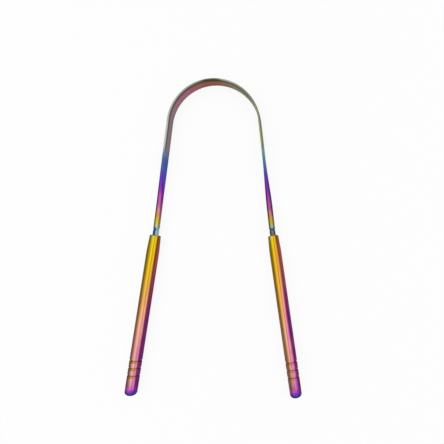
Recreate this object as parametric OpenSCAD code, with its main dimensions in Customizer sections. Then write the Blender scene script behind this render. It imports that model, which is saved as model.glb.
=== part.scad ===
// Tongue scraper: one stainless wire, rolled flat and bent into an arch, with a turned handle on each end.
// It lies flat on z = 0 with the arch towards +Y, and the origin is under the middle of its box.

/* [Arch] */
// Radius of the arch, to the middle of the strip's thickness
arch_r = 23.2; // [15:0.1:35]
// Width of the rolled strip, from its front edge to its back edge
strip_w = 6; // [4:0.1:8]
// Thickness of the rolled strip
strip_t = 1.15; // [0.8:0.05:2]

/* [Legs] */
// Diameter of the wire where it is still round
wire_d = 3; // [2.2:0.1:3.8]
// Length of each straight leg, from the end of the arch to the neck
leg_len = 55.3; // [48:0.1:90]
// Lean of each leg from the centre line, in degrees
leg_lean = 6.8; // [0:0.1:15]
// Length of round wire at the foot of each leg
round_len = 10.5; // [4:0.5:14]
// Length over which the wire is rolled from round to flat
taper_len = 27; // [10:0.5:32]

/* [Necks and tangs] */
// Diameter of the turned neck and of the tang that goes on into the handle
neck_d = 2.9; // [1.8:0.1:3.2]
// Length of neck that shows between the leg and the handle
neck_len = 3; // [1:0.1:6]
// Width of the fine groove turned in the neck under the leg's foot
joint_w = 0.45; // [0.2:0.05:0.8]
// Depth of that groove
joint_depth = 0.25; // [0.1:0.05:0.4]
// Length of tang inside the handle
tang_len = 12; // [6:0.5:20]
// Chamfer on the tip of the tang
tang_chamfer = 0.4; // [0.1:0.05:0.6]
// Rounding of the leg's foot, above the neck
foot_round = 0.35; // [0.1:0.05:0.6]

/* [Handles] */
// Diameter of each handle
handle_d = 6; // [4.8:0.1:9]
// Length of each handle, from its mouth to its domed end
handle_len = 82; // [60:0.5:120]
// Lean of each handle from the centre line, in degrees
handle_lean = 8.5; // [0:0.1:15]
// How far the handle is drawn in at its mouth, on the radius
mouth_step = 0.4; // [0:0.05:0.8]
// Length of the slight taper below the mouth
mouth_len = 8; // [3:0.5:15]
// Rounding of the mouth's edge
mouth_round = 0.6; // [0.1:0.05:0.7]
// Rounding of the domed end
end_round = 1.8; // [0.5:0.1:2.2]
// Diameter of the small pip that turning leaves in the middle of the end
pip_d = 1.6; // [0.6:0.1:2]
// Height of the pip
pip_h = 0.35; // [0.1:0.05:0.6]

/* [Bores] */
// Gap between the tang and the wall of the handle's bore
fit_gap = 0.03; // [0.01:0.01:0.1]
// Space left in the bore beyond the tip of the tang
bore_spare = 1; // [0.2:0.1:4]
// Countersink at the mouth of the bore
countersink = 0.3; // [0.1:0.05:0.5]

/* [Grip grooves] */
// Number of grooves round each handle
groove_count = 3; // [1:1:6]
// Distance from one groove to the next
groove_pitch = 3.8; // [2:0.1:6]
// Width of a groove at the surface
groove_w = 1.1; // [0.5:0.1:1.8]
// Depth of a groove
groove_depth = 0.35; // [0.1:0.05:0.6]
// Distance from the last groove to the end of the handle
groove_end = 10.2; // [4:0.1:20]

/* [Hidden] */
$fn = 96;
// Sides of the wire's section, and rings along a foot's rounding, a taper and the arch
section_sides = 24;
foot_rings = 4;
taper_rings = 22;
arch_rings = 54;
// How far a cut runs on past the face that it opens
overrun = 1;

handle_r = handle_d / 2;
// Height of the wire and both handles above the surface
axis_z = max(handle_d, strip_w) / 2;
// Places of the foot of the right leg and of the right handle's mouth, from the middle of the arch
foot_at = arch_r * [cos(leg_lean), sin(leg_lean)] + leg_len * [sin(leg_lean), -cos(leg_lean)];
mouth_at = foot_at + neck_len * [sin(handle_lean), -cos(handle_lean)];
// Lowest points of the domed end's rounding and of its pip
end_low = mouth_at.y - (handle_len - end_round) * cos(handle_lean)
    - (handle_r - end_round) * sin(handle_lean) - end_round;
pip_low = mouth_at.y - (handle_len + pip_h) * cos(handle_lean) - pip_d / 2 * sin(handle_lean);
// Place of the middle of the arch that centres the box on the origin
arch_y = -(arch_r + strip_t / 2 + min(end_low, pip_low)) / 2;

// Smooth step from 0 to 1, held at both ends
function ease(u) = u <= 0 ? 0 : u >= 1 ? 1 : u * u * (3 - 2 * u);
function mix(a, b, share) = a + (b - a) * share;

// Outline of the wire rolled to a thickness and a width: flat faces joined by half-round edges
function section(thick, wide) = [for (k = [0 : section_sides - 1])
    let (a = (k + 0.5) * 360 / section_sides)
    [thick / 2 * cos(a), thick / 2 * sin(a) + (wide - thick) / 2 * sign(sin(a))]];

// A station of the wire holds its place, the bearing of the strip's outer face, thickness and width
function station(at, bearing, thick, wide) = [at, bearing, thick, wide];

// Station on the right leg at a height above its foot, drawn in all round by an inset
function leg_station(height, inset = 0) = let (share = ease((height - round_len) / taper_len))
    station(foot_at + height * [-sin(leg_lean), cos(leg_lean)], leg_lean,
        mix(wire_d, strip_t, share) - 2 * inset, mix(wire_d, strip_w, share) - 2 * inset);

// The same station on the other leg
function mirrored(s) = station([-s[0].x, s[0].y], 180 - s[1], s[2], s[3]);

// Stations from the right foot up to the end of the taper
leg_stations = concat(
    [for (i = [0 : foot_rings]) let (a = 90 * i / foot_rings)
        leg_station(foot_round * (1 - cos(a)), foot_round * (1 - sin(a)))],
    [for (i = [0 : taper_rings]) leg_station(round_len + taper_len * i / taper_rings)]);

// Stations over the arch, from the end of one leg to the end of the other
arch_stations = [for (i = [0 : arch_rings]) let (a = mix(leg_lean, 180 - leg_lean, i / arch_rings))
    station(arch_r * [cos(a), sin(a)], a, strip_t, strip_w)];

// Stands its children on the right-hand side, with their Z axis up along the limb from a place in the plan
module on_limb(at, lean) {
    translate([at.x, arch_y + at.y, axis_z]) rotate([-90, 0, lean]) children();
}

// The wire from foot to foot: the section drawn through every station
module rolled_wire() {
    wire = concat(leg_stations, arch_stations,
        [for (i = [len(leg_stations) - 1 : -1 : 0]) mirrored(leg_stations[i])]);
    points = [for (s = wire) for (p = section(s[2], s[3]))
        [s[0].x + p.x * cos(s[1]), s[0].y + p.x * sin(s[1]), p.y]];
    last = (len(wire) - 1) * section_sides;
    sides = [for (i = [0 : len(wire) - 2]) for (k = [0 : section_sides - 1])
        let (a = i * section_sides + k, b = i * section_sides + (k + 1) % section_sides)
        each [[a, b + section_sides, a + section_sides], [a, b, b + section_sides]]];
    right_cap = [for (k = [section_sides - 1 : -1 : 0]) k];
    left_cap = [for (k = [0 : section_sides - 1]) last + k];
    translate([0, arch_y, axis_z]) polyhedron(points, concat([right_cap, left_cap], sides));
}

// Neck and tang from inside the leg's foot down to the chamfered tip, along Z from the handle's mouth
module neck_and_tang() {
    neck_r = neck_d / 2;
    joint = tang_len + neck_len - joint_w;
    top = tang_len + neck_len + wire_d / 2;
    translate([0, 0, -tang_len]) rotate_extrude() polygon([
        [0, 0],
        [neck_r - tang_chamfer, 0],
        [neck_r, tang_chamfer],
        [neck_r, joint],
        [neck_r - joint_depth, joint],
        [neck_r - joint_depth, top],
        [0, top]
    ]);
}

// Scraping blade: arch, both legs, necks and tangs, all one piece of wire
module blade() color("darkkhaki") {
    rolled_wire();
    for (side = [0, 1]) mirror([side, 0, 0]) on_limb(mouth_at, handle_lean) neck_and_tang();
}

// Half outline of a handle, mouth at the origin and end down -Y
module handle_profile() {
    slope = atan(mouth_step / mouth_len);
    edge_x = handle_r - mouth_step + mouth_round * (tan(slope) - 1 / cos(slope));
    polygon([
        [0, 0],
        [edge_x, 0],
        [edge_x + mouth_round * cos(slope), mouth_round * (sin(slope) - 1)],
        [handle_r, -mouth_len],
        [handle_r, end_round - handle_len],
        [handle_r - end_round, -handle_len],
        [0, -handle_len]
    ]);
    translate([edge_x, -mouth_round]) circle(mouth_round);
    translate([handle_r - end_round, end_round - handle_len]) intersection() {
        circle(end_round);
        translate([0, -end_round]) square(end_round);
    }
}

// Turned handle along Z, mouth at the origin and end down -Z
module handle() {
    bore_d = neck_d + 2 * fit_gap;
    bore_len = tang_len + bore_spare;
    groove_r = (groove_w * groove_w / 4 + groove_depth * groove_depth) / 2 / groove_depth;
    difference() {
        union() {
            rotate_extrude() handle_profile();
            translate([0, 0, -handle_len - pip_h]) cylinder(d = pip_d, h = pip_h + end_round);
        }
        translate([0, 0, -bore_len]) cylinder(d = bore_d, h = bore_len + overrun);
        translate([0, 0, -countersink])
            cylinder(d1 = bore_d, d2 = bore_d + 2 * (countersink + overrun), h = countersink + overrun);
        for (i = [0 : groove_count - 1])
            translate([0, 0, groove_end + i * groove_pitch - handle_len])
                rotate_extrude() translate([handle_r - groove_depth + groove_r, 0]) circle(groove_r);
    }
}

module left_handle() color("goldenrod") mirror([1, 0, 0]) on_limb(mouth_at, handle_lean) handle();

module right_handle() color("mediumvioletred") on_limb(mouth_at, handle_lean) handle();

blade();
left_handle();
right_handle();
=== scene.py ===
"""Tongue scraper with a rainbow interference coating: a rolled wire blade and two turned handles."""
import math

import bmesh
import bpy
from bpy.props import FloatProperty, FloatVectorProperty, IntProperty, PointerProperty
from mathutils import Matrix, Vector


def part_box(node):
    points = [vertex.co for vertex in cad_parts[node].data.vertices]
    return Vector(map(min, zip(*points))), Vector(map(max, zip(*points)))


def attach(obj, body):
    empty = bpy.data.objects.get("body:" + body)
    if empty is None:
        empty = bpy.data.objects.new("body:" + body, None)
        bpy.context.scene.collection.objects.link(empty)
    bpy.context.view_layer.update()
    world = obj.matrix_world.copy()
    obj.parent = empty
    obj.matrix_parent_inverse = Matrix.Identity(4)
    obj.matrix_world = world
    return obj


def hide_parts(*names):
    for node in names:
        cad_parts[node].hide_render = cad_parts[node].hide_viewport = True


bl_info = {
    "name": "Rainbow tongue scraper",
    "version": (1, 0, 0),
    "blender": (4, 5, 0),
    "location": "3D View > Sidebar > Scraper",
    "description": "Builds a tongue scraper with a rolled blade and two turned handles",
    "category": "Add Mesh",
}

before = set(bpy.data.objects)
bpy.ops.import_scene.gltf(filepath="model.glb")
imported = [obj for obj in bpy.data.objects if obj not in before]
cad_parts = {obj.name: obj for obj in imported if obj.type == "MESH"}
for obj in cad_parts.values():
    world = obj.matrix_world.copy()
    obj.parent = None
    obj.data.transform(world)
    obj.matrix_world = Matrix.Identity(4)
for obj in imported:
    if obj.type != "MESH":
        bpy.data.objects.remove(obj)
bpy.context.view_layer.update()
BLADE_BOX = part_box("blade")
HANDLE_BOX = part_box("right_handle")
BODY = "root"

MM = 0.001
# Points nearer to each other than this become one
WELD = MM / 500
# Points nearer to a ring's plane than this are on the ring
ON_RING = MM / 100
# How far a finished piece may be from its node's box
BOX_SLACK = 0.2 * MM
# Edges that turn by more than this get a bevel, or stay crisp where the rest is smooth
BEVEL_ANGLE = math.radians(35)
CRISP_ANGLE = math.radians(40)

# Names of the vectors that the pieces carry for their materials
PLACE = "place"
TURN = "turn"
COAT = "coat"

WHITE = (1, 1, 1, 1)
# Sockets of a Mix node that mixes colours
FIRST, SECOND, MIXED = 6, 7, 2
# Level of the mirror on a face seen edge on, which the coat dulls
EDGE_ON_MIRROR = (0.4, 0.4, 0.4, 1)

# Films in order of thickness: the share of the thickest one's, the colour and its look
FILMS = {
    "steel": (0.00, "c0d0de", "Bare steel with almost no film"),
    "straw": (0.07, "cfd6b4", "Pale straw"),
    "lemon": (0.13, "d6d45c", "Greenish yellow"),
    "yellow": (0.19, "efcf1e", "Full yellow"),
    "gold": (0.25, "f7c42c", "Warm gold"),
    "orange": (0.31, "f2b05c", "Light orange"),
    "salmon": (0.36, "fdb78e", "Orange pink"),
    "rose": (0.41, "f8a9aa", "Pink"),
    "orchid": (0.46, "de72bc", "Magenta pink"),
    "purple": (0.51, "a040c2", "Red purple"),
    "violet": (0.56, "7040c4", "Blue purple"),
    "indigo": (0.61, "5c55b4", "Deep blue"),
    "blue": (0.66, "4a70ae", "Steel blue"),
    "teal": (0.71, "5899a8", "Blue green"),
    "sage": (0.75, "9abb99", "Grey green"),
    "lime": (0.79, "b0b982", "Dull yellow green"),
    "olive": (0.83, "aeaa96", "Grey olive"),
    "umber": (0.87, "a27862", "Yellow brown"),
    "bronze": (0.90, "99664e", "Orange brown"),
    "mulberry": (0.94, "a95f78", "Dull crimson"),
    "mauve": (0.97, "9c8892", "Grey pink"),
    "plum": (1.00, "5c4a86", "Grey violet"),
}

# Levels that the handles' material looks up, stop by stop, each by a value from 0 to 1
HANDLE_LEVELS = {
    # Along the bar, from the mouth to the domed end
    "run": {
        # Film where it is thinnest, and what the thick side can have beyond that
        "film": [(0, 0.13), (0.022, 0.15), (0.05, 0.185), (0.17, 0.205), (0.22, 0.235), (0.305, 0.26),
                 (0.40, 0.305), (0.49, 0.335), (0.585, 0.37), (0.74, 0.39), (0.85, 0.39), (0.927, 0.41),
                 (0.946, 0.44), (0.96, 0.485), (0.972, 0.54), (0.984, 0.60), (0.993, 0.64), (1, 0.66)],
        "swing": [(0, 0.37), (0.05, 0.315), (0.22, 0.265), (0.305, 0.24), (0.40, 0.195), (0.49, 0.165),
                  (0.585, 0.13), (0.74, 0.11), (0.927, 0.09), (0.96, 0.04), (0.98, 0)],
        # How much of the deeper colour is left
        "fading": [(0.4, 1), (0.55, 0.35), (0.9, 0.35), (0.955, 0.2)],
        # The stretch with the grooves
        "grooved": [(0.77, 0), (0.775, 1), (0.90, 1), (0.905, 0)],
        # The dome, where the painted bands along the bar end, and the painted shade that darkens it
        # towards its pip
        "dome": [(0.94, 0), (0.955, 0.5), (0.985, 1)],
        "dome_shade": [(0.965, 1), (0.975, 0.85), (0.985, 0.45), (0.993, 0.2), (1, 0.12)],
    },
    # Across the bar, from the film's thin side to its thick side
    "side": {
        "share": [(0, 0.1), (0.05, 0.06), (0.14, 0.02), (0.3, 0), (0.5, 0.06), (0.59, 0.21),
                  (0.68, 0.33), (0.77, 0.48), (0.86, 0.68), (0.95, 0.85), (1, 0.9)],
        # Film that a groove lacks, and how much deeper the film's colour is
        "groove_loss": [(0, 0.1), (0.4, 0.09), (0.6, 0.03), (1, 0)],
        "deep": [(0, 0), (0.6, 0), (0.7, 0.25), (0.78, 0.5), (0.86, 0.35), (1, 0)],
    },
    # Across the painted bands of light and shade that run along the bar, standing in for reflections
    "lit_side": {
        "painted_bands": [(0, 0.26), (0.05, 0.27), (0.14, 0.34), (0.23, 0.5), (0.32, 0.86), (0.41, 0.9),
                  (0.50, 0.88), (0.59, 0.95), (0.68, 0.44), (0.77, 0.29), (0.86, 0.30), (0.95, 0.46),
                  (1, 0.48)],
    },
    # Across a painted dark line that runs along the bar, a painted reflection
    "seam_side": {"seam": [(0.43, 1), (0.485, 0.74), (0.515, 0.74), (0.57, 1)]},
    # From the middle of a groove on towards the dome
    "beyond": {"lip": [(0.1, 0), (0.3, 1), (0.6, 1), (0.75, 0)]},
    # Painted shade on the wall of a groove that is nearer to the mouth
    "wall": {"wall_shade": [(0, 1), (0.35, 0.35)]},
    # By how strongly the painted shade in a bar's grooves shows
    "groove_film_and_shade": {"groove_shade_share": [(0, 0), (0.3, 0.6), (1, 1)]},
}

# Levels that the blade's material looks up in the same way
BLADE_LEVELS = {
    # Up from the nearer foot
    "height": {
        # Film where it is thinnest, and how far the thick side's share has begun
        "film": [(0, 0), (0.008, 0.03), (0.025, 0.06), (0.038, 0.09), (0.055, 0.12), (0.07, 0.145),
                 (0.083, 0.20), (0.093, 0.25), (0.107, 0.31), (0.132, 0.365), (0.158, 0.41),
                 (0.183, 0.45), (0.217, 0.47), (0.295, 0.49), (0.338, 0.52), (0.38, 0.55),
                 (0.46, 0.57), (0.508, 0.645), (0.55, 0.665), (0.593, 0.685), (0.635, 0.71),
                 (0.68, 0.735), (0.72, 0.76), (0.77, 0.785), (1, 0.80)],
        "begun": [(0.04, 0), (0.075, 0.3), (0.1, 1)],
        # How far the wire is rolled flat, so that its faces are evenly light, free of the painted bands
        "flat": [(0.28, 0), (0.42, 0.5), (0.55, 1)],
        # Painted shade on a stretch of the lower legs; then the stretch past the taper
        "lower_leg_shade": [(0.1, 1), (0.125, 0.8), (0.175, 0.78), (0.215, 1)],
        "past_taper": [(0.63, 0), (0.7, 1)],
    },
    # From just below the foot to just above it: the neck, and painted shade on the neck and at the foot
    "foot": {
        "neck": [(0, 1), (0.55, 1), (0.72, 0)],
        "foot_shade": [(0, 0.38), (0.42, 0.47), (0.5, 0.24), (0.62, 0.68), (0.75, 1)],
    },
    # Across the wire, from the film's thin side to its thick side
    "side": {
        "share": [(0, 0.1), (0.15, 0), (0.5, 0), (0.63, 0.3), (0.77, 0.5), (0.9, 0.8), (1, 0.9)],
        # Painted bands of light and shade along the legs
        "painted_bands": [(0, 0.24), (0.1, 0.26), (0.23, 0.42), (0.37, 0.75), (0.5, 0.9), (0.63, 0.75),
                  (0.77, 0.42), (0.9, 0.33), (1, 0.35)],
        # Painted shade and a painted highlight on the left neck
        "neck_shade": [(0, (0.12, 0.14, 0.16)), (0.25, (0.05, 0.1, 0.17)), (0.38, (0.1, 0.17, 0.25)),
                       (0.52, (0.6, 0.8, 0.95)), (0.75, (0.6, 0.85, 1)), (1, (0.45, 0.55, 0.6))],
    },
    # Along the wire, from the right foot to the left one
    "run": {
        "left_half": [(0.5, 0), (0.51, 1)],
        # Film that the left leg lacks
        "lag": [(0.70, 0), (0.78, 0.035), (0.825, 0.025), (0.84, 0), (0.925, 0), (0.94, 0.025),
                (0.957, 0.03), (0.966, 0)],
        # Film on the inner face, and where it is of the second order
        "face_film": [(0.31, 0.79), (0.40, 0.825), (0.43, 0.835), (0.466, 0.865), (0.50, 0.895),
                      (0.523, 0.905), (0.58, 0.94), (0.66, 0.965), (0.77, 0.97), (0.80, 1)],
        "second_order": [(0.2, 0), (0.28, 1), (0.77, 1), (0.83, 0)],
        # Painted shade on the right leg
        "leg_shade": [(0, 0.78), (0.12, 0.8), (0.2, 0.88), (0.26, 1), (1, 1)],
        "past_right_leg": [(0.32, 0), (0.38, 1)],
        # How far the painted pale line on the edge moves in, how strong it is and its colour, a painted
        # highlight that is darker in places
        "painted_edge_shift": [(0.45, 0.15), (0.49, 0), (0.53, 0), (0.6, 0.15), (0.67, 0.2), (0.7, 0.27)],
        "painted_edge_level": [(0.3, 0.2), (0.36, 1), (0.45, 1), (0.48, 0.7), (0.49, 0.2), (0.51, 0.2),
                       (0.52, 0.7), (0.6, 1)],
        "painted_edge_colour": [(0.36, (0.17, 0.18, 0.14)), (0.42, (0.2, 0.21, 0.16)),
                        (0.48, (0.38, 0.39, 0.35)), (0.5, (0.2, 0.2, 0.21)), (0.6, (0.36, 0.37, 0.34)),
                        (0.67, (0.46, 0.48, 0.42)), (0.70, (0.55, 0.58, 0.5))],
        # Painted shade along the top of the arch
        "crest_shade": [(0.475, 1), (0.49, 0.4), (0.525, 0.35), (0.545, 1)],
    },
    # From the strip's lower edge to its upper edge: painted shade, slight at the lower edge and a dark
    # line at the upper corner
    "rise": {
        "corner_shade": [(0.09, 0.8), (0.2, 1), (0.64, 1), (0.78, (0.7, 0.68, 0.76)),
                   (0.86, (0.42, 0.4, 0.5)), (0.915, (0.36, 0.34, 0.46)), (0.9375, 1)],
    },
}

# Painted light and shade on the strip's rounded edge, from its inner side to its outer side: how strong
# the painted pale line is, and the edge's painted shade
EDGE_LEVELS = {
    "line": [(0.1, 0), (0.25, 0.75), (1, 0.75)],
    "right_shade": [(0, 1), (0.45, 0.8), (0.65, 0.4), (1, 0.45)],
    "shade": [(0, 0.35), (0.15, 0.35), (0.32, 1), (1, 1)],
}


def linear(code):
    """Linear RGB of an sRGB hex colour."""
    parts = [int(code[i:i + 2], 16) / 255 for i in (0, 2, 4)]
    return [c / 12.92 if c <= 0.04045 else ((c + 0.055) / 1.055) ** 2.4 for c in parts]


def length(name, description, millimetres):
    """A property that holds a length."""
    return FloatProperty(name=name, description=description, default=millimetres * MM, min=0,
                         subtype="DISTANCE", unit="LENGTH", precision=5)


def angle(name, description, degrees):
    """A property that holds an angle."""
    return FloatProperty(name=name, description=description, default=math.radians(degrees),
                         subtype="ANGLE", unit="ROTATION")


def colour(name, description, code):
    """A property that holds a colour, given as sRGB hex."""
    return FloatVectorProperty(name=name, description=description, default=linear(code), min=0,
                               max=1, size=3, subtype="COLOR")


def count(name, description, number, least):
    """A property that holds a number of parts."""
    return IntProperty(name=name, description=description, default=number, min=least)


class BladeSizes(bpy.types.PropertyGroup):
    """Sizes of the rolled wire, its necks and its tangs."""
    arch_radius: length("Arch radius", "To the middle of the strip's thickness", 23.2)
    strip_width: length("Strip width", "From the front edge to the back edge", 6)
    strip_thickness: length("Strip thickness", "Of the rolled strip", 1.15)
    wire_diameter: length("Wire diameter", "Where the wire is still round", 3)
    leg_length: length("Leg length", "From the end of the arch to the neck", 55.3)
    leg_lean: angle("Leg lean", "From the centre line", 6.8)
    round_length: length("Round length", "Of round wire at the foot of each leg", 10.5)
    taper_length: length("Taper length", "Over which the wire is rolled flat", 27)
    neck_diameter: length("Neck diameter", "Of the turned neck and the tang", 2.9)
    neck_length: length("Neck length", "Between the leg and the handle", 3)
    tang_length: length("Tang length", "Inside the handle", 12)
    tang_chamfer: length("Tang chamfer", "On the tip of the tang", 0.4)
    foot_round: length("Foot rounding", "Of the leg's foot, above the neck", 0.35)
    groove_width: length("Neck groove width", "Of the fine turned groove under the foot", 0.45)
    groove_depth: length("Neck groove depth", "Of the fine turned groove under the foot", 0.25)
    section_sides: count("Section sides", "Sides of the wire's section", 48, 12)
    foot_rings: count("Foot rings", "Rings along the foot's rounding", 6, 1)
    taper_rings: count("Taper rings", "Rings along each taper", 30, 6)
    arch_rings: count("Arch rings", "Rings along half of the arch", 36, 6)


class HandleSizes(bpy.types.PropertyGroup):
    """Sizes of a handle, its bore and its grip grooves."""
    diameter: length("Diameter", "Of the bar", (HANDLE_BOX[1].z - HANDLE_BOX[0].z) / MM)
    length: length("Length", "From the mouth to the domed end", 82)
    lean: angle("Lean", "From the centre line", 8.5)
    mouth_step: length("Mouth step", "How far the bar is drawn in at its mouth", 0.4)
    mouth_length: length("Mouth taper", "Length of the slight taper below the mouth", 8)
    mouth_round: length("Mouth rounding", "Of the mouth's edge", 0.6)
    end_round: length("End rounding", "Of the domed end", 1.8)
    pip_diameter: length("Pip diameter", "Of the small pip that turning leaves", 1.6)
    pip_height: length("Pip height", "Of the small pip that turning leaves", 0.35)
    fit_gap: length("Fit gap", "Between the tang and the wall of the bore", 0.03)
    bore_spare: length("Bore spare", "Space beyond the tip of the tang", 1)
    countersink: length("Countersink", "At the mouth of the bore", 0.3)
    groove_count: count("Grooves", "Number of grip grooves", 3, 1)
    groove_pitch: length("Groove pitch", "From one groove to the next", 3.8)
    groove_width: length("Groove width", "At the surface", 1.1)
    groove_depth: length("Groove depth", "At the middle of a groove", 0.35)
    groove_end: length("Groove end", "From the last groove to the end", 10.2)
    edge_break: length("Edge break", "Bevel on each turned edge", 0.06)
    sides: count("Sides", "Facets round the bar", 96, 24)
    body_rings: count("Body rings", "Rings along the plain part of the bar", 14, 1)
    arc_steps: count("Arc steps", "Points along each rounding", 10, 3)


class FilmColours(bpy.types.PropertyGroup):
    """Colours of the interference film, from the thinnest to the thickest."""
    __annotations__ = {name: colour(name.title(), look, code)
                       for name, (share, code, look) in FILMS.items()}


class StageSettings(bpy.types.PropertyGroup):
    """Camera, floor and light."""
    lens: FloatProperty(name="Lens", description="Focal length in millimetres", default=25.591)
    camera_place: FloatVectorProperty(
        name="Camera place", description="Place of the camera", size=3,
        default=(0.04349, -0.00426, 0.16248), subtype="TRANSLATION", unit="LENGTH")
    camera_turn: FloatVectorProperty(
        name="Camera turn", description="Turn from looking straight down", size=3,
        default=[math.radians(a) for a in (0.525, 1.166, 0.248)], subtype="EULER",
        unit="ROTATION")
    camera_shift: FloatVectorProperty(
        name="Camera shift", description="Shift of the frame", size=2, default=(-0.1603, 0.0492))
    floor_size: length("Floor size", "Side of the floor", 30000)
    floor_colour: colour("Floor colour", "Matt white paper", "f9f9f8")
    floor_white: FloatProperty(
        name="Floor white", description="How far the seen floor is plain white", default=0.88,
        min=0, max=1, subtype="FACTOR")
    room_level: FloatProperty(
        name="Room level", description="Brightness of the room all round", default=0.55, min=0)
    panel_level: FloatProperty(
        name="Panel level", description="Brightness straight below a panel", default=0.65, min=0)
    panel_height: length("Panel height", "Of the two soft panels above the table", 162)
    panel_width: length("Panel width", "Across both panels and the gap", 900)
    panel_length: length("Panel length", "From front to back", 900)
    panel_gap: length("Panel gap", "Between the panels, where the camera looks through", 26)
    panel_spread: angle("Panel spread", "Angle that a panel's light spreads over", 150)


def settings():
    """The object's settings, as the scene holds them."""
    return bpy.context.scene.scraper_blade, bpy.context.scene.scraper_handle


def limb(lean):
    """Direction down the right limb of that lean, and the direction out to its side."""
    return Vector((math.sin(lean), -math.cos(lean), 0)), Vector((math.cos(lean), math.sin(lean), 0))


def arch_centre(blade):
    """Middle of the arch, from the top of the blade and the height of its axis."""
    low, high = BLADE_BOX
    return Vector((0, high.y - blade.arch_radius - blade.strip_thickness / 2, (low.z + high.z) / 2))


def foot_place(blade):
    """Foot of the right leg, where its neck begins."""
    down, out = limb(blade.leg_lean)
    return arch_centre(blade) + blade.arch_radius * out + blade.leg_length * down


def mouth_place(blade, handle):
    """Middle of the right handle's mouth."""
    return foot_place(blade) + blade.neck_length * limb(handle.lean)[0]


def groove_places(handle):
    """Distances of the grooves from the mouth, the nearest first."""
    return [handle.length - handle.groove_end - i * handle.groove_pitch
            for i in reversed(range(handle.groove_count))]


def thick_at(blade, flat):
    """Thickness of the wire where it is rolled by that share."""
    return blade.wire_diameter + (blade.strip_thickness - blade.wire_diameter) * flat


def wide_at(blade, flat):
    """Width of the wire where it is rolled by that share."""
    return blade.wire_diameter + (blade.strip_width - blade.wire_diameter) * flat


def ease(u):
    """Smooth step from 0 to 1, held at both ends."""
    u = min(max(u, 0), 1)
    return u * u * (3 - 2 * u)


def between(stops, at):
    """Value at a place along straight lines from stop to stop."""
    for (a0, v0), (a1, v1) in zip(stops, stops[1:]):
        if at <= a1:
            return v0 + (v1 - v0) * (at - a0) / (a1 - a0)
    return stops[-1][1]


def arc(centre, radius, start, end, steps):
    """Points of an arc in the half outline's plane, between two angles in degrees."""
    turns = [math.radians(start + (end - start) * i / steps) for i in range(steps + 1)]
    return [(centre[0] + radius * math.cos(a), centre[1] + radius * math.sin(a)) for a in turns]


def deselect():
    """Leaves object mode with nothing selected."""
    if bpy.context.object and bpy.context.object.mode != "OBJECT":
        bpy.ops.object.mode_set(mode="OBJECT")
    bpy.ops.object.select_all(action="DESELECT")


def pick(piece, wanted):
    """In edit mode, selects just the vertices that wanted says yes to."""
    mesh = bmesh.from_edit_mesh(piece.data)
    for face in mesh.faces:
        face.select_set(False)
    for edge in mesh.edges:
        edge.select_set(False)
    for vertex in mesh.verts:
        vertex.select_set(wanted(vertex))
    mesh.select_flush(True)
    bmesh.update_edit_mesh(piece.data)


def close_up():
    """In edit mode, merges doubles and turns every face outwards."""
    bpy.ops.mesh.select_all(action="SELECT")
    bpy.ops.mesh.remove_doubles(threshold=WELD)
    bpy.ops.mesh.normals_make_consistent(inside=False)
    bpy.ops.object.mode_set(mode="OBJECT")


def finish_with(piece, kind, **values):
    """Adds a modifier to the piece and applies it."""
    modifier = piece.modifiers.new(kind.title(), kind)
    for name, value in values.items():
        setattr(modifier, name, value)
    bpy.ops.object.modifier_apply(modifier=modifier.name)


def turned(name, outline, sides):
    """A round piece about Z: a point drawn along the half outline, then spun a full turn."""
    deselect()
    radius, height = outline[0]
    bpy.ops.mesh.primitive_plane_add(size=MM, location=(radius, 0, height))
    piece = bpy.context.object
    piece.name = name
    bpy.ops.object.mode_set(mode="EDIT")
    bpy.ops.mesh.merge(type="CENTER")
    for (r0, z0), (r1, z1) in zip(outline, outline[1:]):
        bpy.ops.mesh.extrude_vertices_move(TRANSFORM_OT_translate={"value": (r1 - r0, 0, z1 - z0)})
    bpy.ops.mesh.select_all(action="SELECT")
    bpy.ops.mesh.spin(steps=sides, angle=math.tau, center=(0, 0, 0), axis=(0, 0, 1))
    close_up()
    bpy.ops.object.transform_apply()
    return piece


def handle_outline(blade, handle):
    """Half outline of a handle: bore, countersink, rounded mouth, grooves, dome and pip."""
    radius = handle.diameter / 2
    bore_r = blade.neck_diameter / 2 + handle.fit_gap
    bore_end = -(blade.tang_length + handle.bore_spare)
    slope = math.atan(handle.mouth_step / handle.mouth_length)
    edge_x = radius - handle.mouth_step + handle.mouth_round * (math.tan(slope) - 1 / math.cos(slope))
    groove_r = (handle.groove_width ** 2 / 4 + handle.groove_depth ** 2) / 2 / handle.groove_depth
    half_turn = math.degrees(math.asin(handle.groove_width / 2 / groove_r))
    grooves = groove_places(handle)
    plain_end = grooves[0] - handle.groove_width
    outline = [(0, bore_end), (bore_r, bore_end), (bore_r, -handle.countersink),
               (bore_r + handle.countersink, 0)]
    outline += arc((edge_x, -handle.mouth_round), handle.mouth_round, 90, math.degrees(slope),
                   handle.arc_steps)
    for i in range(handle.body_rings + 1):
        share = i / handle.body_rings
        outline.append((radius, -handle.mouth_length * (1 - share) - plain_end * share))
    for at in grooves:
        outline += arc((radius - handle.groove_depth + groove_r, -at), groove_r,
                       180 - half_turn, 180 + half_turn, handle.arc_steps)
    outline += arc((radius - handle.end_round, handle.end_round - handle.length),
                   handle.end_round, 0, -90, handle.arc_steps)
    pip_r = handle.pip_diameter / 2
    pip_end = -handle.length - handle.pip_height
    return outline + [(pip_r, -handle.length), (pip_r, pip_end), (0, pip_end)]


def ring(name, sides, radius, centre, lean):
    """A capped ring of wire about a limb's axis, turned half a step so that no point is on it."""
    deselect()
    bpy.ops.mesh.primitive_circle_add(vertices=sides, radius=radius, fill_type="NGON",
                                      rotation=(0, 0, math.pi / sides))
    bpy.ops.object.transform_apply()
    piece = bpy.context.object
    piece.name = name
    piece.rotation_euler = (math.pi / 2, 0, lean)
    piece.location = centre
    bpy.ops.object.transform_apply()
    bpy.ops.object.mode_set(mode="EDIT")
    bpy.ops.mesh.select_all(action="SELECT")
    return piece


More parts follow.
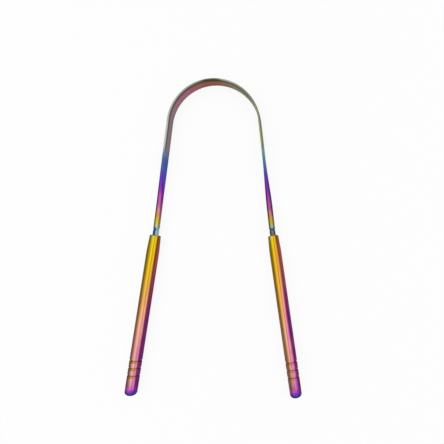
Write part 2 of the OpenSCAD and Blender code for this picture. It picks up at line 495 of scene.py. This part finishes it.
def drawn(step, scale, centre):
    """Draws the selected ring on by a step, and resizes it about its new centre."""
    bpy.ops.mesh.extrude_region_move(TRANSFORM_OT_translate={"value": step})
    bpy.ops.transform.resize(value=(scale, scale, scale), center_override=centre)


def spread(piece, centre, axis, move):
    """Moves the upper half of the ring at that place on an axis up, and its lower half down."""
    def on_ring(vertex):
        return abs((vertex.co - centre).dot(axis)) < ON_RING

    for side in (1, -1):
        pick(piece, lambda v: on_ring(v) and side * (v.co.z - centre.z) > 0)
        bpy.ops.transform.translate(value=(0, 0, side * move))
    pick(piece, on_ring)


def mark(piece, names, vectors_at):
    """Stores a vector of each name for each point of the piece, which its material reads."""
    vectors = [vectors_at(vertex.co) for vertex in piece.data.vertices]
    for name, column in zip(names, zip(*vectors)):
        layer = piece.data.attributes.new(name, "FLOAT_VECTOR", "POINT")
        layer.data.foreach_set("vector", [part for vector in column for part in vector])


def hand_over(piece, material, node):
    """Gives the finished piece its material and its place in the frame."""
    low, high = zip(*((min(v.co[i] for v in piece.data.vertices),
                       max(v.co[i] for v in piece.data.vertices)) for i in range(3)))
    cad_low, cad_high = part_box(node)
    if any(abs(a - b) > BOX_SLACK for a, b in zip((*low, *high), (*cad_low, *cad_high))):
        raise RuntimeError(f"{piece.name} does not fill the box of {node}")
    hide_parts(node)
    piece.data.materials.clear()
    piece.data.materials.append(material)
    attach(piece, BODY)


def add(tree, kind, inputs=None, stops=(), **values):
    """Adds a shader node with its settings, its constants, its links and its stops, and returns it.

    Each of a ramp's stops is a position and a level or a colour.
    """
    node = tree.nodes.new("ShaderNode" + kind)
    for name, value in values.items():
        setattr(node, name, value)
    for socket, value in (inputs or {}).items():
        if isinstance(value, bpy.types.Node):
            value = value.outputs[0]
        if isinstance(value, bpy.types.NodeSocket):
            tree.links.new(value, node.inputs[socket])
        else:
            node.inputs[socket].default_value = value
    if stops:
        elements = node.color_ramp.elements
        while len(elements) < len(stops):
            elements.new(1)
        for element, (position, value) in zip(elements, stops):
            element.position = position
            element.color = (*(value if hasattr(value, "__len__") else [value] * 3), 1)
    return node


def new_material(name):
    """An empty node material, and its tree."""
    material = bpy.data.materials.new(name)
    material.use_nodes = True
    material.node_tree.nodes.clear()
    return material, material.node_tree


def marked(tree, name):
    """The three parts of a vector that mark() stored on the piece."""
    return add(tree, "SeparateXYZ", {
        "Vector": add(tree, "Attribute", attribute_name=name).outputs["Vector"]}).outputs


def film_colour(tree, thickness, patch_size, swing, seed):
    """The film's colour at a thickness, which varies by the swing in soft patches."""
    # Most of the noise is between these levels
    low, high = 0.3, 0.7
    film = bpy.context.scene.scraper_film
    place = add(tree, "TexCoord").outputs["Object"]
    shifted = add(tree, "Mapping", {"Vector": place, "Location": (seed, seed, seed)})
    noise = add(tree, "TexNoise", {"Vector": shifted, "Scale": 1 / patch_size, "Detail": 2.0})
    patches = add(tree, "MapRange", {"Value": noise.outputs["Fac"], "From Min": low,
                                     "From Max": high, "To Min": -swing, "To Max": swing})
    uneven = add(tree, "Math", {0: thickness, 1: patches}, operation="ADD")
    return add(tree, "ValToRGB", {"Fac": uneven},
               [(share, getattr(film, name)) for name, (share, code, look) in FILMS.items()])


def coated_metal(tree, film, layers, fine_marks, mark_strength, dullest):
    """The shader that all the coated steel ends in: its film, layers over that and fine marks.

    Each layer is how it is blended, its share and its colour.
    """
    mark_depth = 0.02 * MM
    glossiest = 0.14
    for blend, share, layer in layers:
        film = add(tree, "Mix", {"Factor": share, FIRST: film, SECOND: layer}, data_type="RGBA",
                   blend_type=blend).outputs[MIXED]
    bump = add(tree, "Bump", {"Strength": mark_strength, "Distance": mark_depth,
                              "Height": fine_marks.outputs["Fac"]})
    gloss = add(tree, "MapRange", {"Value": fine_marks.outputs["Fac"], "To Min": glossiest,
                                   "To Max": dullest})
    shader = add(tree, "BsdfPrincipled", {
        "Base Color": film, "Metallic": 1.0, "Roughness": gloss, "Normal": bump,
        "Specular Tint": EDGE_ON_MIRROR})
    add(tree, "OutputMaterial", {"Surface": shader})


def handle_material(handle):
    """Stainless bar, turned, polished and coated with a thin interference film.

    The film thickens from the mouth to the domed end, so the colour runs through the whole first
    order. It is thicker and deeper in colour on one side, and thinner in the grooves. Long soft
    bands of painted light and shade, with a painted dark line, run along the bar and stand in for
    reflections that the plain room gives the metal little of. Painted shade darkens the grooves,
    their upper walls and the dome towards its pip, and turning leaves fine rings.
    """
    material, tree = new_material("coated_turned_stainless")
    along, across, depth = marked(tree, PLACE)
    lit, wall, from_seam = marked(tree, TURN)
    lead, groove_film_and_shade, belt = marked(tree, COAT)
    values = {name: add(tree, "MapRange", {"Value": value, "From Min": -1.0})
              for name, value in (("side", across), ("lit_side", lit), ("seam_side", from_seam))}
    values.update({"run": add(tree, "MapRange", {"Value": along, "From Max": handle.length}),
                   "beyond": beyond_groove(tree, along, handle), "wall": wall,
                   "groove_film_and_shade": groove_film_and_shade})
    levels = {name: add(tree, "ValToRGB", {"Fac": values[value]}, stops)
              for value, table in HANDLE_LEVELS.items() for name, stops in table.items()}
    lip = add(tree, "Math", {0: levels["lip"], 1: levels["grooved"]}, operation="MULTIPLY")
    sunk = add(tree, "Math", {0: lip, 1: depth}, operation="MAXIMUM")
    # Turning marks are about 0.05 mm apart, drawn at 0.25 mm so that they show
    mark_pitch = 0.25 * MM
    turns = add(tree, "Math", {0: along, 1: mark_pitch}, operation="DIVIDE")
    rings = add(tree, "TexNoise", {"W": turns, "Scale": 1.0, "Detail": 1.0}, noise_dimensions="1D")
    film = handle_film(tree, levels, sunk, lead, groove_film_and_shade, belt)
    layers = [("MULTIPLY", 1.0, shade) for shade in handle_painted_shades(tree, levels, sunk)]
    coated_metal(tree, film, layers, rings, mark_strength=0.06, dullest=0.20)
    return material


def beyond_groove(tree, along, handle):
    """Share of the way from the middle of the nearest groove to the end of its thin film."""
    thin_reach = 1.5 * MM
    from_first = add(tree, "Math", {0: along, 1: groove_places(handle)[0]}, operation="SUBTRACT")
    beyond = add(tree, "Math", {0: from_first, 1: handle.groove_pitch / 2,
                                2: -handle.groove_pitch / 2}, operation="WRAP")
    return add(tree, "MapRange", {"Value": beyond, "From Max": thin_reach})


def handle_film(tree, levels, sunk, lead, groove_film_and_shade, belt):
    """The film's colour on a handle, deeper along its belt and on its thick side."""
    lost = add(tree, "Math", {0: sunk, 1: levels["groove_loss"]}, operation="MULTIPLY")
    lost = add(tree, "Math", {0: lost, 1: groove_film_and_shade}, operation="MULTIPLY")
    thickness = add(tree, "Math", {0: levels["share"], 1: levels["swing"], 2: levels["film"]},
                    operation="MULTIPLY_ADD")
    for operation, change in (("SUBTRACT", lost), ("ADD", lead)):
        thickness = add(tree, "Math", {0: thickness, 1: change}, operation=operation)
    film = film_colour(tree, thickness, patch_size=5 * MM, swing=0.012, seed=0)
    power = add(tree, "Math", {0: levels["deep"], 1: levels["fading"], 2: 1.0},
                operation="MULTIPLY_ADD")
    power = add(tree, "Math", {0: power, 1: belt}, operation="ADD")
    return add(tree, "Gamma", {"Color": film, "Gamma": power})


def handle_painted_shades(tree, levels, sunk):
    """Painted light and shade on a handle: bands along it with a dark line, evened out on the dome, and
    painted shade on the dome, on the grooves' upper walls and in the grooves.
    """
    painted_bands = add(tree, "Mix", {"Factor": 1.0, FIRST: levels["painted_bands"], SECOND: levels["seam"]},
                data_type="RGBA", blend_type="MULTIPLY").outputs[MIXED]
    painted_bands = add(tree, "Mix", {"Factor": levels["dome"], FIRST: painted_bands, SECOND: WHITE},
                data_type="RGBA").outputs[MIXED]
    # Painted shade in the grooves and just below them
    shown = add(tree, "Math", {0: sunk, 1: levels["groove_shade_share"]}, operation="MULTIPLY")
    groove_shade = add(tree, "ValToRGB", {"Fac": shown}, [(0, 1), (1, 0.72)])
    return painted_bands, levels["dome_shade"], levels["wall_shade"], groove_shade


def blade_material(blade, total):
    """Stainless wire, cold rolled, polished and coated with a thin interference film.

    The film thickens from each foot to the arch, and again round the inner face of the arch, where
    its second order gives brown, crimson and mauve. Painted bands of light and shade run along the
    legs as on the handles, with painted shade at the feet, low on the legs, on the right leg and
    along the arch's top, painted light and shade on the left neck, and a painted pale line and dark
    corner line on the strip's edge. Rolling leaves fine lines along the strip.
    """
    material, tree = new_material("coated_rolled_stainless")
    near, across, face = marked(tree, PLACE)
    out, up, run = marked(tree, TURN)
    # Heights count up to this, and the foot's own shades end this far from it
    top = 60 * MM
    foot_reach = 3 * MM
    values = {"height": add(tree, "MapRange", {"Value": near, "From Max": top}),
              "foot": add(tree, "MapRange", {"Value": near, "From Min": -foot_reach,
                                             "From Max": foot_reach}),
              "side": add(tree, "MapRange", {"Value": across, "From Min": -1.0}),
              "run": run,
              "rise": add(tree, "MapRange", {"Value": up, "From Min": -1.0})}
    levels = {name: add(tree, "ValToRGB", {"Fac": values[value]}, stops)
              for value, table in BLADE_LEVELS.items() for name, stops in table.items()}
    # The arch, and the left leg down to its taper, where the edge has its painted pale line and corner
    # shade
    painted_edge_stretch = add(tree, "Math", {0: levels["past_taper"], 1: levels["past_right_leg"]},
                    operation="MULTIPLY")
    line, edge_shade = blade_edge(tree, levels, out, painted_edge_stretch)
    inside = add(tree, "Math", {0: face, 1: levels["second_order"]}, operation="MULTIPLY",
                 use_clamp=True)
    inner_film = film_colour(tree, levels["face_film"], patch_size=4 * MM, swing=0.006, seed=2)
    # Over the film: painted bands and shades, the painted pale line and edge shade, the inner face's
    # film and the painted corner shade
    layers = [("MULTIPLY", 1.0, blade_painted_shade(tree, levels, face)),
              ("MULTIPLY", 1.0, levels["leg_shade"]),
              ("MULTIPLY", 1.0, levels["lower_leg_shade"]),
              ("MIX", line, levels["painted_edge_colour"]),
              ("MULTIPLY", levels["past_taper"], edge_shade),
              ("MULTIPLY", 1.0, levels["crest_shade"]),
              ("MIX", inside, inner_film),
              ("MULTIPLY", painted_edge_stretch, levels["corner_shade"])]
    # Rolling lines run along the wire, drawn 0.125 mm apart round its section and 8 mm long
    line_gap = 0.125 * MM
    line_length = 8 * MM
    scales = {"X": (out, blade.wire_diameter / 2 / line_gap),
              "Y": (up, blade.wire_diameter / 2 / line_gap), "Z": (run, total / line_length)}
    line_place = add(tree, "CombineXYZ", {
        axis: add(tree, "Math", {0: value, 1: scale}, operation="MULTIPLY")
        for axis, (value, scale) in scales.items()})
    lines = add(tree, "TexNoise", {"Vector": line_place, "Scale": 1.0, "Detail": 2.0})
    coated_metal(tree, blade_film(tree, levels), layers, lines, mark_strength=0.08, dullest=0.24)
    return material


def blade_film(tree, levels):
    """The film's colour on the legs and on the outside of the arch."""
    # The thick side grows to this film, and always has a little more than the thin side
    thick_film = 0.50
    least_swing = 0.02
    swing = add(tree, "Math", {0: thick_film, 1: levels["film"]}, operation="SUBTRACT")
    swing = add(tree, "Math", {0: swing, 1: least_swing}, operation="MAXIMUM")
    swing = add(tree, "Math", {0: swing, 1: levels["begun"]}, operation="MULTIPLY")
    thickness = add(tree, "Math", {0: levels["share"], 1: swing, 2: levels["film"]},
                    operation="MULTIPLY_ADD")
    thickness = add(tree, "Math", {0: thickness, 1: levels["lag"]}, operation="SUBTRACT")
    return film_colour(tree, thickness, patch_size=5 * MM, swing=0.01, seed=1)


def blade_painted_shade(tree, levels, face):
    """Painted light and shade on the wire: bands along the legs, shade at the feet, and shade and a
    highlight on the left neck.
    """
    # All but the rim of a face is evenly light, free of the painted bands
    face_gain = 2.0
    on_face = add(tree, "Math", {0: face}, operation="ABSOLUTE")
    even = add(tree, "Math", {0: on_face, 1: face_gain, 2: levels["flat"]},
               operation="MULTIPLY_ADD", use_clamp=True)
    left_neck = add(tree, "Math", {0: levels["neck"], 1: levels["left_half"]}, operation="MULTIPLY")
    painted_bands = add(tree, "Mix", {"Factor": even, FIRST: levels["painted_bands"], SECOND: WHITE},
                data_type="RGBA").outputs[MIXED]
    painted_bands = add(tree, "Mix", {"Factor": 1.0, FIRST: painted_bands, SECOND: levels["foot_shade"]},
                data_type="RGBA", blend_type="MULTIPLY").outputs[MIXED]
    return add(tree, "Mix", {"Factor": left_neck, FIRST: painted_bands, SECOND: levels["neck_shade"]},
               data_type="RGBA").outputs[MIXED]


def blade_edge(tree, levels, out, painted_edge_stretch):
    """How strong the painted pale line on the strip's edge is, and the edge's painted shade."""
    # Level of the edge's middle, and how fast it rises from there to the outside
    middle, rise = 0.35, 0.5
    place = add(tree, "Math", {0: out, 1: rise, 2: middle}, operation="MULTIPLY_ADD")
    place = add(tree, "Math", {0: place, 1: levels["painted_edge_shift"]}, operation="ADD", use_clamp=True)
    edge = {name: add(tree, "ValToRGB", {"Fac": place}, stops)
            for name, stops in EDGE_LEVELS.items()}
    line = edge["line"]
    for share in (painted_edge_stretch, levels["painted_edge_level"]):
        line = add(tree, "Math", {0: line, 1: share}, operation="MULTIPLY")
    shade = add(tree, "Mix", {"Factor": levels["past_right_leg"], FIRST: edge["right_shade"],
                              SECOND: edge["shade"]}, data_type="RGBA").outputs[MIXED]
    return line, shade


class SCRAPER_OT_handles(bpy.types.Operator):
    """Turns one handle, copies it and seats both on the tangs"""
    bl_idname = "scraper.handles"
    bl_label = "Turned Handles"

    # How far round each bar the film's thick side is turned
    film_turns = {"left": math.radians(28), "right": math.radians(-10)}
    # How far round each bar the painted dark line runs, a painted reflection
    seam_turns = {"left": math.radians(21), "right": math.radians(2)}
    # How far round the painted bands of light and shade are turned, in degrees, by the share of the way
    # to the end
    painted_band_turns = {"left": [(0, 28), (0.2, 27), (0.35, 24), (0.85, 23), (0.93, 30), (1, 34)],
                    "right": [(0, 2), (0.08, 8), (0.2, 8), (0.3, 5), (0.5, 5), (0.58, 7), (0.67, 11),
                              (0.8, 15), (0.9, 20), (1, 30)]}
    # Extra film on the left and the right flank, by the share of the way to the end
    flank_films = {"left": ([(0, 0), (1, 0)], [(0, 0), (0.8, 0.035), (0.93, 0.02), (1, 0.02)]),
                   "right": ([(0, 0), (0.17, 0.02), (0.39, -0.025), (0.67, -0.055), (0.8, -0.04),
                              (0.9, -0.015), (1, 0.03)],
                             [(0, -0.05), (0.1, -0.035), (0.2, -0.012), (0.39, 0.01), (0.48, 0.04),
                              (0.57, 0.02), (0.67, 0), (0.9, 0.012), (1, 0.03)])}
    # How strongly the grooves show, in their thinner film and their painted shade
    groove_films_and_shades = {"left": 1, "right": 0.3}
    # Where the belt of deeper colour and the rim beyond it lie, by the share of the way out to the right
    belt_shares = [(-1, 0), (0.36, 0), (0.5, 1), (0.65, 1), (0.8, 0.8), (1, 0.5)]
    rim_shares = [(-1, 0), (0.36, 0), (0.6, 1), (1, 1)]
    # How much deeper the belt is, and the rim's extra film, by the share of the way to the end
    belt_depths = {"left": [(0, 0.4), (0.4, 0.4), (0.62, 0.25), (0.75, 0.15), (0.85, 0.05),
                            (1, 0.05)],
                   "right": [(0, 0.2), (0.4, 0.2), (0.5, 0), (1, 0)]}
    rim_films = {"left": [(0, -0.02), (0.08, -0.02), (0.15, 0), (0.32, 0.02), (1, 0.02)],
                 "right": [(0, -0.03), (0.1, -0.03), (0.2, -0.02), (0.45, -0.015), (0.6, 0), (1, 0)]}

    def execute(self, context):
        blade, handle = settings()
        mouth = mouth_place(blade, handle)
        piece = turned("right_turned_handle", handle_outline(blade, handle), handle.sides)
        finish_with(piece, "BEVEL", width=handle.edge_break, segments=2, limit_method="ANGLE",
                    angle_limit=BEVEL_ANGLE)
        bpy.ops.object.shade_smooth_by_angle(angle=CRISP_ANGLE)
        piece.rotation_euler = (-math.pi / 2, 0, handle.lean)
        piece.location = mouth
        bpy.ops.object.transform_apply()
        bpy.ops.object.duplicate(linked=False)
        copy = context.object
        copy.name = "left_turned_handle"
        copy.scale.x = -1
        bpy.ops.object.transform_apply()
        bpy.ops.object.mode_set(mode="EDIT")
        close_up()
        material = handle_material(handle)
        for made, name in ((copy, "left"), (piece, "right")):
            flip = Vector((-1 if name == "left" else 1, 1, 1))
            down, out = (v * flip for v in limb(handle.lean))
            mark(made, (PLACE, TURN, COAT), self.places(mouth * flip, down, out, name, handle))
            hand_over(made, material, name + "_handle")
        return {"FINISHED"}

    def places(self, start, down, out, name, handle):
        """A function that gives the vectors of a point on a handle.

        PLACE is its distance from the mouth, its place across the film and its depth in a groove.
        TURN is its place across the painted bands of light and shade, how far it is on a groove's upper
        wall, and its place from the painted dark line. COAT is its extra film, how strongly the grooves'
        thinner film and painted shade show, and its deeper colour.
        """
        right = out if out.x > 0 else -out
        radius = handle.diameter / 2
        grooves = groove_places(handle)

        def vectors_at(point):
            offset = point - start
            along = offset.dot(down)
            sideways = offset.dot(right)
            gone = min(max(along / handle.length, 0), 1)
            turns = (self.film_turns[name], math.radians(between(self.painted_band_turns[name], gone)),
                     self.seam_turns[name])
            across, lit, seam = ((sideways * math.cos(turn) - offset.z * math.sin(turn)) / radius
                                 for turn in turns)
            flank = between(self.flank_films[name][sideways > 0], gone)
            lead = flank * math.sin(math.pi * min(abs(sideways) / radius, 1))
            lead += between(self.rim_shares, seam) * between(self.rim_films[name], gone)
            belt = between(self.belt_shares, seam) * between(self.belt_depths[name], gone)
            grooved = handle.mouth_length < along < handle.length - handle.end_round
            sunk = (radius - math.hypot(sideways, offset.z)) / handle.groove_depth
            sunk = min(sunk, 1) if grooved else 0
            groove = min(grooves, key=lambda at: abs(at - along))
            wall = sunk * (groove - along) / (handle.groove_width / 2)
            return ((along, across, sunk), (lit, max(wall, 0), seam),
                    (lead, self.groove_films_and_shades[name], belt))
        return vectors_at


class SCRAPER_OT_blade(bpy.types.Operator):
    """Draws the wire from its tang up one leg and half the arch, then mirrors it"""
    bl_idname = "scraper.blade"
    bl_label = "Rolled Blade"

    # Share of the neck groove's width that each of its walls takes
    wall_share = 0.2
    # How far round each leg the film's thick side is turned, and how fast the film swings over to it
    film_turns = {"left": math.radians(24), "right": math.radians(5)}
    film_gain = 1.2
    # Share of the edge's rounding where the film of a face ends
    face_end = 0.25

    def execute(self, context):
        blade, handle = settings()
        centre = mouth_place(blade, handle) + blade.tang_length * limb(handle.lean)[0]
        piece = ring("rolled_blade", blade.section_sides, blade.neck_diameter / 2 - blade.tang_chamfer,
                     centre, handle.lean)
        self.draw_neck(blade, handle, centre)
        self.draw_leg(blade, handle, piece)
        self.draw_arch(blade)
        finish_with(piece, "MIRROR", use_axis=(True, False, False), merge_threshold=WELD)
        bpy.ops.object.mode_set(mode="EDIT")
        close_up()
        bpy.ops.object.shade_smooth_by_angle(angle=CRISP_ANGLE)
        total = 2 * blade.leg_length + blade.arch_radius * (math.pi - 2 * blade.leg_lean)
        mark(piece, (PLACE, TURN), lambda point: self.vectors_at(point, blade, handle, total))
        hand_over(piece, blade_material(blade, total), "blade")
        return {"FINISHED"}

    def draw_neck(self, blade, handle, centre):
        """Draws the turned tang and neck up to the fine groove under the foot."""
        up = -limb(handle.lean)[0]
        neck_r = blade.neck_diameter / 2
        reach = blade.tang_length + blade.neck_length
        stations = [(0, neck_r - blade.tang_chamfer), (blade.tang_chamfer, neck_r),
                    (blade.tang_length, neck_r), (reach - blade.groove_width, neck_r),
                    (reach - (1 - self.wall_share) * blade.groove_width, neck_r - blade.groove_depth),
                    (reach - self.wall_share * blade.groove_width, neck_r - blade.groove_depth)]
        for (z0, r0), (z1, r1) in zip(stations, stations[1:]):
            drawn((z1 - z0) * up, r1 / r0, centre + z1 * up)

    def draw_leg(self, blade, handle, piece):
        """Draws the foot's rounding, the round wire, the taper and the flat leg."""
        up = -limb(blade.leg_lean)[0]
        foot = foot_place(blade)
        centre = foot + self.wall_share * blade.groove_width * limb(handle.lean)[0]
        radius = blade.neck_diameter / 2 - blade.groove_depth
        for i in range(blade.foot_rings + 1):
            turn = math.pi / 2 * i / blade.foot_rings
            at = foot + blade.foot_round * (1 - math.cos(turn)) * up
            r = blade.wire_diameter / 2 - blade.foot_round * (1 - math.sin(turn))
            drawn(at - centre, r / radius, at)
            if i == 0:
                bpy.ops.transform.rotate(value=handle.lean - blade.leg_lean, orient_axis="Z",
                                         center_override=at)
            centre, radius = at, r
        thick, gap = blade.wire_diameter, 0
        for i in range(blade.taper_rings + 1):
            flat = ease(i / blade.taper_rings)
            at = foot + (blade.round_length + blade.taper_length * i / blade.taper_rings) * up
            new_thick = thick_at(blade, flat)
            new_gap = (wide_at(blade, flat) - new_thick) / 2
            scale = new_thick / thick
            drawn(at - centre, scale, at)
            spread(piece, at, up, new_gap - gap * scale)
            centre, thick, gap = at, new_thick, new_gap
        end = foot + blade.leg_length * up
        drawn(end - centre, 1, end)

    @staticmethod
    def draw_arch(blade):
        """Spins the strip up to the top of the arch and opens its end for the mirror."""
        bpy.ops.mesh.spin(steps=blade.arch_rings, angle=math.pi / 2 - blade.leg_lean,
                          center=arch_centre(blade), axis=(0, 0, -1))
        bpy.ops.mesh.delete(type="ONLY_FACE")
        bpy.ops.object.mode_set(mode="OBJECT")

    def vectors_at(self, point, blade, handle, total):
        """The vectors of a point on the wire.

        PLACE is its distance from the nearer foot, its place across the film and how far it is on
        the inner face, or on the outer one where that is below zero. TURN is its bearing in the
        section, out and up, and its share of the way from the right foot.
        """
        name = "right" if point.x >= 0 else "left"
        mirrored = Vector((abs(point.x), point.y, point.z))
        down, side = limb(blade.leg_lean)
        foot = foot_place(blade)
        middle = arch_centre(blade)
        near = -(mirrored - foot).dot(down)
        sideways = (mirrored - foot).dot(side)
        if near > blade.leg_length:
            bearing = math.atan2(mirrored.y - middle.y, mirrored.x)
            near = blade.leg_length + blade.arch_radius * (bearing - blade.leg_lean)
            sideways = math.hypot(mirrored.x, mirrored.y - middle.y) - blade.arch_radius
            side = Vector((math.cos(bearing), math.sin(bearing), 0))
        flat = ease((near - blade.round_length) / blade.taper_length)
        if near < 0:
            side = limb(handle.lean)[1]
            sideways = (mirrored - foot).dot(side)
        half_gap = (wide_at(blade, flat) - thick_at(blade, flat)) / 2
        rise = point.z - middle.z
        beyond = math.copysign(max(abs(rise) - half_gap, 0), rise)
        size = math.hypot(sideways, beyond) or 1
        out, edge_up = sideways / size, beyond / size
        up = rise / wide_at(blade, flat) * 2
        # The film's thick side is the one towards +X and -Y
        lean_in = (side.x if name == "right" else -side.x) - side.y
        toward = max(-1, min(1, lean_in * self.film_gain))
        film_turn = self.film_turns[name]
        across = toward * out * math.cos(film_turn) - edge_up * math.sin(film_turn)
        face = -out * flat * ease(1 - abs(edge_up) / self.face_end)
        run = near / total if name == "right" else 1 - near / total
        return (near, across, face), (out, up, run)


class SCRAPER_OT_stage(bpy.types.Operator):
    """Sets the camera, the paper floor and the soft light"""
    bl_idname = "scraper.stage"
    bl_label = "Stage"

    def execute(self, context):
        stage = context.scene.scraper_stage
        deselect()
        bpy.ops.object.camera_add(location=stage.camera_place, rotation=stage.camera_turn)
        camera = context.object
        camera.name = "camera"
        camera.data.lens = stage.lens
        camera.data.shift_x, camera.data.shift_y = stage.camera_shift
        camera.data.clip_start = MM
        camera.data.clip_end = 2 * stage.floor_size
        context.scene.camera = camera
        bpy.ops.mesh.primitive_plane_add(size=stage.floor_size)
        floor = context.object
        floor.name = "paper_floor"
        floor.data.materials.append(paper_material(stage))
        light_room(context.scene, stage)
        context.scene.view_settings.view_transform = "Standard"
        return {"FINISHED"}


def paper_material(stage):
    """Matt coated paper: white, with no sheen and a grain too fine to see from here.

    What the camera, metal and glass see of it is mostly plain white, with some of the shadow left.
    """
    material, tree = new_material("matt_white_paper")
    matt = add(tree, "BsdfDiffuse", {"Color": (*stage.floor_colour, 1)})
    white = add(tree, "Emission", {"Color": WHITE, "Strength": 1.0})
    path = add(tree, "LightPath").outputs
    seen = add(tree, "Math", {0: path["Is Camera Ray"], 1: path["Is Glossy Ray"]}, operation="ADD")
    seen = add(tree, "Math", {0: seen, 1: path["Is Transmission Ray"]}, operation="ADD",
               use_clamp=True)
    whitened = add(tree, "Math", {0: seen, 1: stage.floor_white}, operation="MULTIPLY")
    shader = add(tree, "MixShader", {"Fac": whitened, 1: matt, 2: white})
    add(tree, "OutputMaterial", {"Surface": shader})
    return material


def light_room(scene, stage):
    """Lights the scene with an even room and two soft panels that leave a gap for the camera."""
    scene.world = bpy.data.worlds.new("even_room")
    scene.world.use_nodes = True
    tree = scene.world.node_tree
    tree.nodes.clear()
    background = add(tree, "Background", {"Color": WHITE, "Strength": stage.room_level})
    add(tree, "OutputWorld", {"Surface": background})
    middle = stage.camera_place[0]
    for name, side in (("left_panel", -1), ("right_panel", 1)):
        near = middle + side * stage.panel_gap / 2
        hang_panel(stage, name, near, side * stage.panel_width / 2)


def hang_panel(stage, name, near, far):
    """Hangs a soft panel over the table, facing down, between two places along X."""
    bpy.ops.object.light_add(type="AREA", location=((near + far) / 2, 0, stage.panel_height))
    lamp = bpy.context.object
    lamp.name = name
    lamp.visible_camera = False
    lamp.data.shape = "RECTANGLE"
    lamp.data.size = abs(far - near)
    lamp.data.size_y = stage.panel_length
    lamp.data.spread = stage.panel_spread
    # A narrow spread sends more of the energy straight down, so there is that much less of it
    half = stage.panel_spread / 2
    narrowed = 1 - half / math.tan(half)
    area = lamp.data.size * lamp.data.size_y
    lamp.data.energy = stage.panel_level * math.pi * area * narrowed


class SCRAPER_PT_panel(bpy.types.Panel):
    """Lists the pieces and their sizes"""
    bl_idname = "SCRAPER_PT_panel"
    bl_label = "Tongue Scraper"
    bl_space_type = "VIEW_3D"
    bl_region_type = "UI"
    bl_category = "Scraper"

    def draw(self, context):
        for operator, group in ((SCRAPER_OT_handles, context.scene.scraper_handle),
                                (SCRAPER_OT_blade, context.scene.scraper_blade),
                                (SCRAPER_OT_stage, context.scene.scraper_stage)):
            box = self.layout.box()
            box.operator(operator.bl_idname)
            for name in group.__annotations__:
                box.prop(group, name)
        box = self.layout.box()
        for name in FILMS:
            box.prop(context.scene.scraper_film, name)


GROUPS = {"scraper_blade": BladeSizes, "scraper_handle": HandleSizes, "scraper_film": FilmColours,
          "scraper_stage": StageSettings}
CLASSES = (*GROUPS.values(), SCRAPER_OT_handles, SCRAPER_OT_blade, SCRAPER_OT_stage, SCRAPER_PT_panel)


def register():
    """Makes the settings, the operators and the panel known to Blender."""
    for cls in CLASSES:
        bpy.utils.register_class(cls)
    for name, group in GROUPS.items():
        setattr(bpy.types.Scene, name, PointerProperty(type=group))


def unregister():
    """Takes them away again."""
    for name in GROUPS:
        delattr(bpy.types.Scene, name)
    for cls in reversed(CLASSES):
        bpy.utils.unregister_class(cls)


def main():
    register()
    bpy.ops.scraper.stage()
    bpy.ops.scraper.handles()
    bpy.ops.scraper.blade()


if __name__ == "__main__":
    main()
